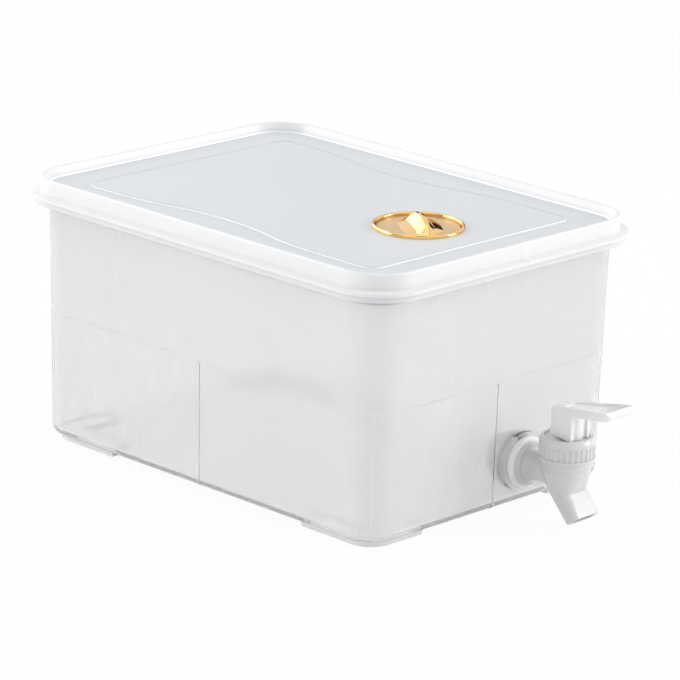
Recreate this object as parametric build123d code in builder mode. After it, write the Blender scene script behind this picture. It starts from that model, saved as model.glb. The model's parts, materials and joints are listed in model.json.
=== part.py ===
"""Fridge drink dispenser: a shallow box with a push-on lid, a turning vent and a push-paddle tap.

Lengths are in millimetres. Z is up and the tap points to -Y. The origin is on the shelf, under the
middle of the whole object with its tap.
"""

import os
from math import atan2, cos, radians, sin, tan

from build123d import *

os.makedirs("parts", exist_ok=True)

# Gaps between pieces
free_gap = 0.3  # between pieces that move past each other
shaft_gap = 0.08  # round a shaft that turns in its bore
thread_gap = 0.1  # round a threaded shank
seat_lap = 0.05  # round a piece that is pushed into its seat

# Box
lip_length = 265.0
lip_width = 197.0
lip_radius = 28.0
foot_height = 3.5
tank_depth = 127.6  # underside of the floor to the top of the rim
tank_wall = 2.0
tank_floor = 2.4
wall_inset = 8.5  # lid edge to tank wall, at the rim
wall_radius = 20.5
wall_draft = 1.1  # degrees
base_radius = 3.0
step_height = 70.0
wall_step = 0.6
rib_width = 1.3
rib_proud = 0.55
rim_inset = 1.5
rim_plate = 1.6
rim_hem = 3.0
hem_wall = 1.4
foot_inset = 4.6
foot_width = 12.0
foot_taper = 14.0  # degrees
foot_gap_length = 139.4  # clear length between two feet along the long side
foot_gap_width = 92.6

# Lid
lip_edge = 1.6
lip_rise = 0.6
ring_inset = 4.3
ring_lean = 0.2
ring_height = 8.0
ring_crest = 1.9
ring_round = 0.85
ring_core = 1.2
ring_core_depth = 2.7
border_inset = 8.8
border_height = 5.0
lid_wall = 1.8
panel_width = 144.0
panel_front_inset = 30.2
panel_back_inset = 28.5
panel_radius = 7.0
panel_rise = 0.95
bead_width = 1.2
bead_height = 0.35
scoop_depth = 8.8
scoop_front = 40.0  # panel's front edge to the start of its side scoops
scoop_middle = 112.0
scoop_back = 20.3  # end of the side scoops to the panel's back edge
skirt_wall = 1.8
skirt_gap = 1.6
skirt_depth = 10.65
seal_height = 2.0
seal_lift = 2.4
seal_depth = 0.8

# Vent
vent_setback = 68.5  # lid's front edge to the vent's axis
bezel_radius = 23.5
bezel_width = 2.0
bezel_height = 1.9
bezel_skirt = 0.7
dial_thickness = 1.5
dial_stem_radius = 4.0
grip_turn = 60.0  # degrees from +X
grip_height = 6.6
grip_arch_radius = 40.0
grip_flank = 9.5
grip_shoulder = 11.0
grip_ridge = 1.6
port_radius = 2.0
port_circle = 11.0
gasket_radius = 16.0
gasket_thickness = 1.8
retainer_radius = 15.0
retainer_thickness = 2.2
vent_screw_radius = 1.5
vent_screw_length = 8.0
vent_head_radius = 5.0
vent_head_height = 2.0
vent_drive_radius = 1.6
vent_drive_depth = 1.2

# Tap, seen from the box's front wall outwards
tap_x = 19.0
tap_height = 25.5
boss_radius = 15.3
boss_proud = 3.0
boss_pad = 0.7
boss_hole_gap = 0.5
tap_reach = 27.4  # boss face to the tap's upright axis
shank_radius = 7.5
shank_bore = 4.6
outer_washer_radius = 13.4
outer_washer_thickness = 3.2
flange_radius = 11.4
flange_thickness = 2.6
flange_edge = 0.8
arm_root_round = 1.2
inner_washer_radius = 12.0
inner_washer_thickness = 2.0
nut_thickness = 7.0
nut_across = 24.0
shank_spare = 4.7
barrel_radius = 12.4
barrel_height = 2.5
shoulder_radius = 13.0
shoulder_height = 3.6
neck_radius = 11.2
neck_height = 6.4
barrel_above = 3.0  # shank axis to the underside of the barrel
spout_width = 18.0
spout_root_depth = 14.0
spout_root_drop = 7.0
spout_root_ahead = 1.4
spout_root_round = 4.0
outlet_depth = 8.6
outlet_tilt = 38.3  # degrees
outlet_ahead = 12.5
outlet_height = 5.75
outlet_round = 2.5
spout_wall = 1.3
seat_radius = 4.2
seat_drop = 4.8  # shank axis to the top of the cup's seat
seat_thickness = 1.7
chamber_radius = 6.2
neck_bore = 9.6

# Cap of the tap
bonnet_lip_radius = 14.4
bonnet_lip_height = 1.3
bonnet_radius = 14.0
bonnet_skirt = 9.1
bonnet_disc = 2.6
bonnet_rim = 1.0
bonnet_rim_round = 0.6
bonnet_rim_radius = 11.6
bonnet_gap = 0.3  # threaded neck to cap
flute_count = 30
flute_radius = 0.95
flute_depth = 0.6
flute_top = 1.4  # top of the flutes to the cap's shoulder

# Closing cup, spring and stem
cup_plug_radius = 5.2
cup_plug_height = 7.6
cup_wall = 0.9
cup_flange = 1.8
cup_flange_radius = 10.8
cup_mouth_radius = 8.3
stem_radius = 3.0
stem_foot = 5.0
collar_radius = 5.1
collar_height = 1.2
collar_above = 1.6  # closing cup's plug to the stem's collar
knuckle_radius = 3.2
knuckle_width = 6.2
bar_radius = 1.6
bar_length = 11.0
pin_height = 51.0
spring_radius = 4.6
spring_wire = 0.7
spring_turns = 5.0

# Paddle
lever_width = 14.0
lever_back = 5.3  # pin to the back of the block
lever_front = 8.2
lever_reach = 34.5
lever_top = 10.7
lever_tail = 3.3
lever_round = 1.6
lever_edge = 0.5
heel_drop = 5.3  # pin to the heels that bear on the cap
heel_flat = 1.5
heel_round = 0.7
cheek_gap = 0.3
cheek_web = 1.8
cheek_wall = 1.6
front_recess = 1.2
front_web = 1.2
sleeve_radius = 4.4
slot_roof = 3.5
paddle_width = 20.0
paddle_root_drop = 2.7
paddle_tip_rise = 5.8
paddle_tip_drop = 4.2
paddle_tip_chamfer = 2.3
paddle_corner = 3.5
dish_margin = 2.0
dish_depth = 0.8
dish_setback = 1.2  # pin's axis to the start of the dish
snap_width = 2.8

# Heights of the box and lid
rim_top = foot_height + tank_depth
lip_bottom = rim_top + free_gap
lip_top = lip_bottom + lip_edge
ring_root = lip_top + lip_rise
ring_top = ring_root + ring_height
border_top = lip_bottom + border_height
lid_under = border_top - lid_wall
panel_top = border_top + panel_rise
skirt_bottom = lid_under - skirt_depth
seal_bottom = skirt_bottom + seal_lift


def wall_inset_at(height):
    """Inset of the tank's outer wall from the lid's edge, at a height below the step or above it."""
    step = wall_step if height < step_height else 0.0
    return wall_inset + (rim_top - height) * tan(radians(wall_draft)) + step


# Places along Y, from the middle of the box and then in the object's own frame
boss_face = lip_length / 2 - wall_inset_at(tap_height) + boss_proud
tank_y = (boss_face + tap_reach + lever_reach - lip_length / 2) / 2
boss_y = tank_y - boss_face
tap_y = boss_y - tap_reach
vent_y = tank_y - lip_length / 2 + vent_setback


def level(height):
    """Horizontal plane through the middle of the box."""
    return Plane(origin=(0, tank_y, height), x_dir=(1, 0, 0), z_dir=(0, 0, 1))


def vent_level(height, turn=0.0):
    """Horizontal plane on the vent's axis, with its X turned from the box's width."""
    return Plane(origin=(0, vent_y, height), x_dir=(cos(radians(turn)), sin(radians(turn)), 0), z_dir=(0, 0, 1))


def tap_level(height):
    """Horizontal plane on the tap's upright axis."""
    return Plane(origin=(tap_x, tap_y, height), x_dir=(1, 0, 0), z_dir=(0, 0, 1))


def shank_plane(ahead):
    """Upright plane on the shank's axis, a distance ahead of the boss face, that faces the user."""
    return Plane(origin=(tap_x, boss_y - ahead, tap_height), x_dir=(1, 0, 0), z_dir=(0, -1, 0))


def tap_section(across=0.0):
    """Upright plane through the tap's axis: its X runs to the back of the box and its Y upwards."""
    return Plane(origin=(tap_x + across, tap_y, 0), x_dir=(0, 1, 0), z_dir=(1, 0, 0))


def lid_outline(inset):
    """Rounded outline of the lid, moved in from its edge."""
    return RectangleRounded(lip_width - 2 * inset, lip_length - 2 * inset, lip_radius - inset)


def wall_outline(height, step, inward=0.0):
    """Rounded outline of the tank's wall at a height, with or without its step, moved inwards."""
    lean = (rim_top - height) * tan(radians(wall_draft)) + step
    inset = wall_inset + lean + inward
    return RectangleRounded(lip_width - 2 * inset, lip_length - 2 * inset, wall_radius - lean - inward)


def mouth_outline(gap):
    """Rounded outline that stands a gap inside the tank's mouth, level with the seal."""
    inset = wall_inset_at(seal_bottom) + tank_wall + gap
    lean = wall_inset_at(seal_bottom) - wall_inset
    return RectangleRounded(lip_width - 2 * inset, lip_length - 2 * inset, wall_radius - lean - tank_wall - gap)


def panel_outline():
    """Outline of the lid's raised panel: a rectangle whose long sides are scooped in a shallow wave."""
    front = -lip_length / 2 + panel_front_inset
    back = lip_length / 2 - panel_back_inset
    side = panel_width / 2
    start = Vector(side, front + scoop_front)
    middle = Vector(side - scoop_depth, front + scoop_middle)
    end = Vector(side, back - scoop_back)
    with BuildSketch() as outline:
        with BuildLine():
            Polyline((0, front), (side, front), start)
            entry = TangentArc(start, (start + middle) / 2, tangent=(0, 1))
            TangentArc(entry @ 1, middle, tangent=entry % 1)
            leave = TangentArc(middle, (middle + end) / 2, tangent=(0, 1))
            TangentArc(leave @ 1, end, tangent=leave % 1)
            Polyline(end, (side, back), (0, back))
            mirror(about=Plane.YZ)
        make_face()
        corners = outline.vertices().filter_by_position(Axis.Y, front - 1, front + 1)
        corners += outline.vertices().filter_by_position(Axis.Y, back - 1, back + 1)
        fillet([corner for corner in corners if abs(corner.X) > side / 2], panel_radius)
    return outline.sketch


# Ribs of the tank: a slightly larger box, cut down to a slab for each rib
with BuildPart() as ribs:
    with BuildSketch(level(foot_height)):
        wall_outline(foot_height, wall_step, -rib_proud)
    with BuildSketch(level(step_height)):
        wall_outline(step_height, wall_step, -rib_proud)
    loft(ruled=True)
    fillet(ribs.faces().sort_by(Axis.Z)[0].edges(), base_radius)
    with BuildSketch(level(foot_height)):
        Rectangle(rib_width, lip_length)
        Rectangle(lip_width, rib_width)
        corner_x = lip_width / 2 - wall_inset - wall_radius
        corner_y = lip_length / 2 - wall_inset - wall_radius
        for side_x in (-1, 1):
            for side_y in (-1, 1):
                with Locations(Location((side_x * corner_x, side_y * corner_y, 0), (0, 0, 45 * side_x * side_y))):
                    Rectangle(2 * lip_radius, rib_width)
    extrude(amount=step_height - foot_height, mode=Mode.INTERSECT)

# Tank: the drafted box with its step, ribs, rim, tap boss and four corner feet
with BuildPart() as tank:
    with BuildSketch(level(foot_height)):
        wall_outline(foot_height, wall_step)
    with BuildSketch(level(step_height)):
        wall_outline(step_height, wall_step)
    loft(ruled=True)
    fillet(tank.faces().sort_by(Axis.Z)[0].edges(), base_radius)
    with BuildSketch(level(step_height)):
        wall_outline(step_height, 0)
    with BuildSketch(level(rim_top)):
        wall_outline(rim_top, 0)
    loft(ruled=True)
    add(ribs.part)
    with BuildSketch(level(rim_top - rim_plate)):
        lid_outline(rim_inset)
    extrude(amount=rim_plate)
    with BuildSketch(level(rim_top - rim_hem)):
        lid_outline(rim_inset)
        add(lid_outline(rim_inset + hem_wall), mode=Mode.SUBTRACT)
    extrude(amount=rim_hem - rim_plate)
    floor_top = foot_height + tank_floor
    with BuildSketch(level(floor_top)):
        wall_outline(floor_top, wall_step, tank_wall)
    with BuildSketch(level(step_height)):
        wall_outline(step_height, wall_step, tank_wall)
    loft(ruled=True, mode=Mode.SUBTRACT)
    with BuildSketch(level(step_height)):
        wall_outline(step_height, 0, tank_wall)
    with BuildSketch(level(rim_top)):
        wall_outline(rim_top, 0, tank_wall)
    loft(ruled=True, mode=Mode.SUBTRACT)
    floor_face = tank.faces().filter_by(Plane.XY).filter_by_position(Axis.Z, floor_top - 0.1, floor_top + 0.1)
    fillet(floor_face.edges(), base_radius - 1)
    with BuildSketch(level(0)):
        foot_w = lip_width - 2 * wall_inset_at(foot_height) - 2 * foot_inset
        foot_l = lip_length - 2 * wall_inset_at(foot_height) - 2 * foot_inset
        foot_r = wall_radius - (wall_inset_at(foot_height) - wall_inset) - foot_inset
        RectangleRounded(foot_w, foot_l, foot_r)
        Rectangle(foot_w - 2 * foot_width, foot_l - 2 * foot_width, mode=Mode.SUBTRACT)
        Rectangle(foot_gap_width, lip_length, mode=Mode.SUBTRACT)
        Rectangle(lip_width, foot_gap_length, mode=Mode.SUBTRACT)
    extrude(amount=foot_height, taper=-foot_taper)
    boss_depth = boss_proud + tank_wall + boss_pad
    with BuildSketch(shank_plane(0)):
        Circle(boss_radius)
    extrude(amount=-boss_depth)
    with BuildSketch(shank_plane(0)):
        Circle(shank_radius + boss_hole_gap)
    extrude(amount=-boss_depth, mode=Mode.SUBTRACT)
tank.part.label = "tank"

# Lid: lip, ring, bordered panel and plug skirt, moulded at one wall thickness
with BuildPart() as lid:
    with BuildSketch(level(lip_bottom)):
        lid_outline(0)
    extrude(amount=lip_edge)
    with BuildSketch(level(lip_top)):
        lid_outline(0)
    with BuildSketch(level(ring_root)):
        lid_outline(ring_inset)
    loft(ruled=True)
    with BuildSketch(level(ring_root)):
        lid_outline(ring_inset)
    with BuildSketch(level(ring_top)):
        lid_outline(ring_inset + ring_lean)
    loft(ruled=True)
    with BuildSketch(level(border_top)):
        lid_outline(border_inset)
    with BuildSketch(level(ring_top)):
        lid_outline(ring_inset + ring_lean + ring_crest)
    loft(ruled=True, mode=Mode.SUBTRACT)
    fillet(lid.faces().sort_by(Axis.Z)[-1].edges(), ring_round)
    with BuildSketch(level(border_top)):
        add(panel_outline())
    extrude(amount=panel_rise)
    with BuildSketch(level(panel_top)):
        add(panel_outline())
        offset(panel_outline(), amount=-bead_width, mode=Mode.SUBTRACT)
    extrude(amount=bead_height)
    with BuildSketch(level(lip_bottom)):
        lid_outline(ring_inset + lid_wall)
    extrude(amount=lid_under - lip_bottom, mode=Mode.SUBTRACT)
    with BuildSketch(level(lid_under)):
        lid_outline(ring_inset + lid_wall)
        add(lid_outline(ring_inset + lid_wall + ring_core), mode=Mode.SUBTRACT)
    extrude(amount=ring_core_depth, mode=Mode.SUBTRACT)
    with BuildSketch(level(lid_under)):
        offset(panel_outline(), amount=-lid_wall)
    extrude(amount=panel_rise, mode=Mode.SUBTRACT)
    with BuildSketch(level(skirt_bottom)):
        mouth_outline(skirt_gap)
        add(mouth_outline(skirt_gap + skirt_wall), mode=Mode.SUBTRACT)
    extrude(amount=skirt_depth)
    with BuildSketch(level(seal_bottom)):
        mouth_outline(skirt_gap)
        add(mouth_outline(skirt_gap + seal_depth), mode=Mode.SUBTRACT)
    extrude(amount=seal_height, mode=Mode.SUBTRACT)
    panel_under = panel_top - lid_wall
    pocket_floor = panel_top - dial_thickness - free_gap
    pocket_under = pocket_floor - lid_wall
    pocket_radius = bezel_radius - bezel_width + bezel_skirt
    with BuildSketch(vent_level(pocket_under)):
        Circle(pocket_radius + lid_wall)
    extrude(amount=panel_under - pocket_under)
    with BuildSketch(vent_level(pocket_floor)):
        Circle(pocket_radius)
    extrude(amount=panel_rise + lid_wall, mode=Mode.SUBTRACT)
    with BuildSketch(vent_level(pocket_under)):
        Circle(dial_stem_radius + shaft_gap)
        with PolarLocations(port_circle, 2, start_angle=grip_turn):
            Circle(port_radius)
    extrude(amount=lid_wall, mode=Mode.SUBTRACT)
lid.part.label = "lid"

# Seal: a silicone ring in the groove of the lid's skirt
with BuildPart() as lid_seal:
    with BuildSketch(level(seal_bottom)):
        mouth_outline(free_gap)
        add(mouth_outline(skirt_gap + seal_depth), mode=Mode.SUBTRACT)
    extrude(amount=seal_height)
    outer_rims = lid_seal.faces().filter_by(Plane.XY)
    chamfer([face.outer_wire().edges() for face in outer_rims], seal_height / 4)
lid_seal.part.label = "lid_seal"

# Vent ring: a rounded bezel with a thin skirt down into the lid's pocket
with BuildPart() as vent_bezel:
    bezel_inner = bezel_radius - bezel_width
    with BuildSketch(Plane(origin=(0, vent_y, 0), x_dir=(1, 0, 0), z_dir=(0, -1, 0))):
        with BuildLine():
            crown = panel_top + bezel_height - bezel_width / 2
            Polyline(
                (bezel_inner, crown),
                (bezel_inner, pocket_floor),
                (pocket_radius - seat_lap, pocket_floor),
                (pocket_radius - seat_lap, panel_top),
                (bezel_radius, panel_top),
                (bezel_radius, crown),
            )
            ThreePointArc(
                (bezel_radius, crown),
                (bezel_radius - bezel_width / 2, crown + bezel_width / 2),
                (bezel_inner, crown),
            )
        make_face()
    revolve(axis=Axis((0, vent_y, 0), (0, 0, 1)))
vent_bezel.part.label = "vent_bezel"

# Finger grip of the vent: a leaf-shaped body that rises to a narrow ridge, cut by an arch
with BuildPart() as grip:
    reach = bezel_inner
    half_ridge = grip_ridge / 2
    with BuildSketch(vent_level(panel_top, grip_turn)):
        Polygon(
            (-reach, -half_ridge), (-grip_shoulder, -grip_flank), (reach, -half_ridge),
            (reach, half_ridge), (grip_shoulder, grip_flank), (-reach, half_ridge),
            align=None,
        )
    with BuildSketch(vent_level(panel_top + grip_height, grip_turn)):
        Polygon(
            (-reach, -half_ridge), (-grip_shoulder, -half_ridge), (reach, -half_ridge),
            (reach, half_ridge), (grip_shoulder, half_ridge), (-reach, half_ridge),
            align=None,
        )
    loft(ruled=True)
    with BuildSketch(Plane(vent_level(0, grip_turn).origin, x_dir=vent_level(0, grip_turn).x_dir,
                           z_dir=-vent_level(0, grip_turn).y_dir)):
        with Locations((0, panel_top + grip_height - grip_arch_radius)):
            Circle(grip_arch_radius)
    extrude(amount=reach, both=True, mode=Mode.INTERSECT)
    with BuildSketch(vent_level(panel_top)):
        Circle(bezel_inner - free_gap)
    extrude(amount=grip_height, mode=Mode.INTERSECT)

# Vent dial: the disc, its grip and the stem that turns in the lid
gasket_top = pocket_under - free_gap
gasket_under = gasket_top - gasket_thickness
retainer_under = gasket_under - retainer_thickness
with BuildPart() as vent_dial:
    with BuildSketch(vent_level(panel_top - dial_thickness)):
        Circle(bezel_inner - free_gap)
    extrude(amount=dial_thickness)
    add(grip.part)
    with BuildSketch(vent_level(retainer_under)):
        Circle(dial_stem_radius)
    extrude(amount=panel_top - dial_thickness - retainer_under)
    with BuildSketch(vent_level(retainer_under)):
        Circle(vent_screw_radius)
    extrude(amount=vent_screw_length, mode=Mode.SUBTRACT)
vent_dial.part.label = "vent_dial"

# Gasket and its backing disc: their ports stand a quarter turn from the lid's ports while closed
with BuildPart() as vent_gasket:
    with BuildSketch(vent_level(gasket_under, grip_turn + 90)):
        Circle(gasket_radius)
        Circle(dial_stem_radius + seat_lap, mode=Mode.SUBTRACT)
        with PolarLocations(port_circle, 2):
            Circle(port_radius, mode=Mode.SUBTRACT)
    extrude(amount=gasket_thickness)
vent_gasket.part.label = "vent_gasket"

with BuildPart() as vent_retainer:
    with BuildSketch(vent_level(retainer_under, grip_turn + 90)):
        Circle(retainer_radius)
        Circle(dial_stem_radius + seat_lap, mode=Mode.SUBTRACT)
        with PolarLocations(port_circle, 2):
            Circle(port_radius, mode=Mode.SUBTRACT)
    extrude(amount=retainer_thickness)
    chamfer(vent_retainer.faces().sort_by(Axis.Z)[0].outer_wire().edges(), retainer_thickness / 4)
vent_retainer.part.label = "vent_retainer"

with BuildPart() as vent_screw:
    with BuildSketch(vent_level(retainer_under - vent_head_height)):
        Circle(vent_head_radius)
    extrude(amount=vent_head_height)
    fillet(vent_screw.faces().sort_by(Axis.Z)[0].edges(), vent_head_height / 3)
    with BuildSketch(vent_level(retainer_under)):
        Circle(vent_screw_radius)
    extrude(amount=vent_screw_length)
    with BuildSketch(vent_level(retainer_under - vent_head_height)):
        RegularPolygon(vent_drive_radius, 6)
    extrude(amount=vent_drive_depth, mode=Mode.SUBTRACT)
vent_screw.part.label = "vent_screw"

# Tap body: flange, shank, barrel with threaded neck, and the spout that leans forward to its outlet
tank_inside = boss_depth  # boss face to the pad inside the wall
nut_face = tank_inside + inner_washer_thickness + nut_thickness
barrel_bottom = tap_height + barrel_above
shoulder_bottom = barrel_bottom + barrel_height
neck_bottom = shoulder_bottom + shoulder_height
neck_top = neck_bottom + neck_height
seat_top = tap_height - seat_drop
root_height = tap_height - spout_root_drop
outlet = Plane(
    origin=(tap_x, tap_y - outlet_ahead, outlet_height),
    x_dir=(1, 0, 0),
    z_dir=(0, sin(radians(outlet_tilt)), cos(radians(outlet_tilt))),
)
spout_root = Plane(origin=(tap_x, tap_y - spout_root_ahead, root_height), x_dir=(1, 0, 0), z_dir=(0, 0, 1))
with BuildPart() as tap_body:
    with BuildSketch(shank_plane(outer_washer_thickness)):
        Circle(flange_radius)
    extrude(amount=flange_thickness)
    fillet(tap_body.faces().sort_by(Axis.Y)[0].edges(), flange_edge)
    with BuildSketch(shank_plane(-nut_face - shank_spare)):
        Circle(shank_radius)
    extrude(amount=nut_face + shank_spare + tap_reach)
    flange_front = boss_y - outer_washer_thickness - flange_thickness
    flange_edges = tap_body.edges().filter_by(GeomType.CIRCLE)
    arm_root = flange_edges.filter_by_position(Axis.Y, flange_front - seat_lap, flange_front + seat_lap)
    fillet(arm_root.sort_by(SortBy.RADIUS)[0], arm_root_round)
    with BuildSketch(tap_level(barrel_bottom)):
        Circle(barrel_radius)
    extrude(amount=barrel_height)
    with BuildSketch(tap_level(shoulder_bottom)):
        Circle(shoulder_radius)
    extrude(amount=shoulder_height)
    with BuildSketch(tap_level(neck_bottom)):
        Circle(neck_radius)
    extrude(amount=neck_height)
    with BuildSketch(tap_level(barrel_bottom)):
        RectangleRounded(2 * barrel_radius, 2 * barrel_radius, barrel_radius - seat_lap)
    with BuildSketch(spout_root):
        RectangleRounded(spout_width, spout_root_depth, spout_root_round)
    loft(ruled=True)
    with BuildSketch(spout_root):
        RectangleRounded(spout_width, spout_root_depth, spout_root_round)
    with BuildSketch(outlet):
        RectangleRounded(spout_width, outlet_depth, outlet_round)
    loft(ruled=True)
    with BuildSketch(tap_level(seat_top)):
        Circle(chamber_radius)
    extrude(amount=shoulder_bottom - seat_top, mode=Mode.SUBTRACT)
    with BuildSketch(tap_level(barrel_bottom + barrel_height / 4)):
        Circle(neck_bore)
    extrude(amount=neck_top - barrel_bottom, mode=Mode.SUBTRACT)
    with BuildSketch(tap_level(seat_top - seat_thickness)):
        Circle(seat_radius)
    extrude(amount=seat_thickness, mode=Mode.SUBTRACT)
    with BuildSketch(tap_level(seat_top - seat_thickness)):
        RectangleRounded(2 * seat_radius, 2 * seat_radius, seat_radius - seat_lap)
    with BuildSketch(outlet.offset(-seat_lap)):
        RectangleRounded(spout_width - 2 * spout_wall, outlet_depth - 2 * spout_wall, outlet_round - spout_wall)
    loft(ruled=True, mode=Mode.SUBTRACT)
    with BuildSketch(shank_plane(-nut_face - shank_spare)):
        Circle(shank_bore)
    extrude(amount=nut_face + shank_spare + tap_reach, mode=Mode.SUBTRACT)
tap_body.part.label = "tap_body"

# Washers and lock nut on the shank
with BuildPart() as outer_washer:
    with BuildSketch(shank_plane(0)):
        Circle(outer_washer_radius)
        Circle(shank_radius + thread_gap, mode=Mode.SUBTRACT)
    extrude(amount=outer_washer_thickness)
    fillet(outer_washer.edges().filter_by(GeomType.CIRCLE).sort_by(SortBy.RADIUS)[-2:], outer_washer_thickness / 4)
outer_washer.part.label = "outer_washer"

with BuildPart() as inner_washer:
    with BuildSketch(shank_plane(-tank_inside)):
        Circle(inner_washer_radius)
        Circle(shank_radius + thread_gap, mode=Mode.SUBTRACT)
    extrude(amount=-inner_washer_thickness)
inner_washer.part.label = "inner_washer"

with BuildPart() as lock_nut:
    with BuildSketch(shank_plane(-tank_inside - inner_washer_thickness)):
        RegularPolygon(nut_across / 2, 6, major_radius=False)
        Circle(shank_radius + thread_gap, mode=Mode.SUBTRACT)
    extrude(amount=-nut_thickness)
    with BuildSketch(shank_plane(-tank_inside - inner_washer_thickness)):
        Circle(nut_across / 2 + nut_thickness / 5)
    extrude(amount=-nut_thickness, mode=Mode.INTERSECT)
lock_nut.part.label = "lock_nut"

# Cap of the tap: a fluted skirt over the neck, and a raised rim round its disc
cap_bottom = neck_bottom + free_gap
disc_under = neck_top + cup_flange
disc_top = disc_under + bonnet_disc
rim_height = disc_top + bonnet_rim
with BuildPart() as tap_bonnet:
    with BuildSketch(tap_section()):
        with BuildLine():
            Polyline(
                (neck_radius + bonnet_gap, cap_bottom),
                (bonnet_lip_radius, cap_bottom),
                (bonnet_lip_radius, cap_bottom + bonnet_lip_height),
                (bonnet_radius, cap_bottom + bonnet_lip_height),
                (bonnet_radius, cap_bottom + bonnet_skirt),
                (bonnet_radius - bonnet_rim, rim_height),
                (bonnet_rim_radius, rim_height),
                (bonnet_rim_radius, disc_top),
                (stem_radius + free_gap, disc_top),
                (stem_radius + free_gap, disc_under),
                (neck_radius + bonnet_gap, disc_under),
                close=True,
            )
        make_face()
    revolve(axis=Axis((tap_x, tap_y, 0), (0, 0, 1)))
    rim_edges = tap_bonnet.edges().filter_by(GeomType.CIRCLE).group_by(Axis.Z)[-1]
    fillet(rim_edges.sort_by(SortBy.RADIUS)[-1], bonnet_rim_round)
    flute_bottom = cap_bottom + bonnet_lip_height
    with BuildSketch(tap_level(flute_bottom)):
        with PolarLocations(bonnet_radius + flute_radius - flute_depth, flute_count):
            Circle(flute_radius)
    extrude(amount=cap_bottom + bonnet_skirt - flute_top - flute_bottom, mode=Mode.SUBTRACT)
tap_bonnet.part.label = "tap_bonnet"

# Closing cup: a silicone plug over the seat, a thin bell round the spring and a clamped flange
plug_bottom = seat_top + free_gap
plug_top = plug_bottom + cup_plug_height
collar_bottom = plug_top + collar_above
collar_top = collar_bottom + collar_height
stem_end = plug_top - stem_foot
bell_root = collar_radius + 2 * free_gap
with BuildPart() as seat_cup:
    with BuildSketch(tap_section()):
        with BuildLine():
            Polyline(
                (0, plug_bottom),
                (cup_plug_radius - cup_wall, plug_bottom),
                (cup_plug_radius, plug_bottom + cup_wall),
                (cup_plug_radius, plug_top),
                (bell_root + cup_wall, collar_bottom),
                (cup_mouth_radius, neck_top),
                (cup_flange_radius, neck_top),
                (cup_flange_radius, disc_under),
                (cup_mouth_radius - cup_wall, disc_under),
                (bell_root, collar_bottom - free_gap),
                (stem_radius + free_gap, collar_bottom - free_gap),
                (stem_radius + free_gap, stem_end - free_gap),
                (0, stem_end - free_gap),
                close=True,
            )
        make_face()
    revolve(axis=Axis((tap_x, tap_y, 0), (0, 0, 1)))
seat_cup.part.label = "seat_cup"

# Stem: foot in the cup, collar under the spring, and a cross bar at its head
with BuildPart() as tap_stem:
    with BuildSketch(tap_level(stem_end)):
        Circle(stem_radius)
    extrude(amount=pin_height - stem_end)
    with BuildSketch(tap_level(collar_bottom)):
        Circle(collar_radius)
    extrude(amount=collar_height)
    with BuildSketch(tap_section(-knuckle_width / 2)):
        with Locations((0, pin_height)):
            Circle(knuckle_radius)
    extrude(amount=knuckle_width)
    with BuildSketch(tap_section(-bar_length / 2)):
        with Locations((0, pin_height)):
            Circle(bar_radius)
    extrude(amount=bar_length)
tap_stem.part.label = "tap_stem"

# Spring between the stem's collar and the cap
spring_bottom = collar_top + free_gap + spring_wire / 2
spring_length = disc_under - spring_wire / 2 - spring_bottom
with BuildPart() as tap_spring:
    with BuildLine():
        coil = Helix(
            pitch=spring_length / spring_turns,
            height=spring_length,
            radius=spring_radius,
            center=(tap_x, tap_y, spring_bottom),
        )
    with BuildSketch(Plane(origin=coil @ 0, z_dir=coil % 0)):
        Circle(spring_wire / 2)
    sweep()
tap_spring.part.label = "tap_spring"

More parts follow.
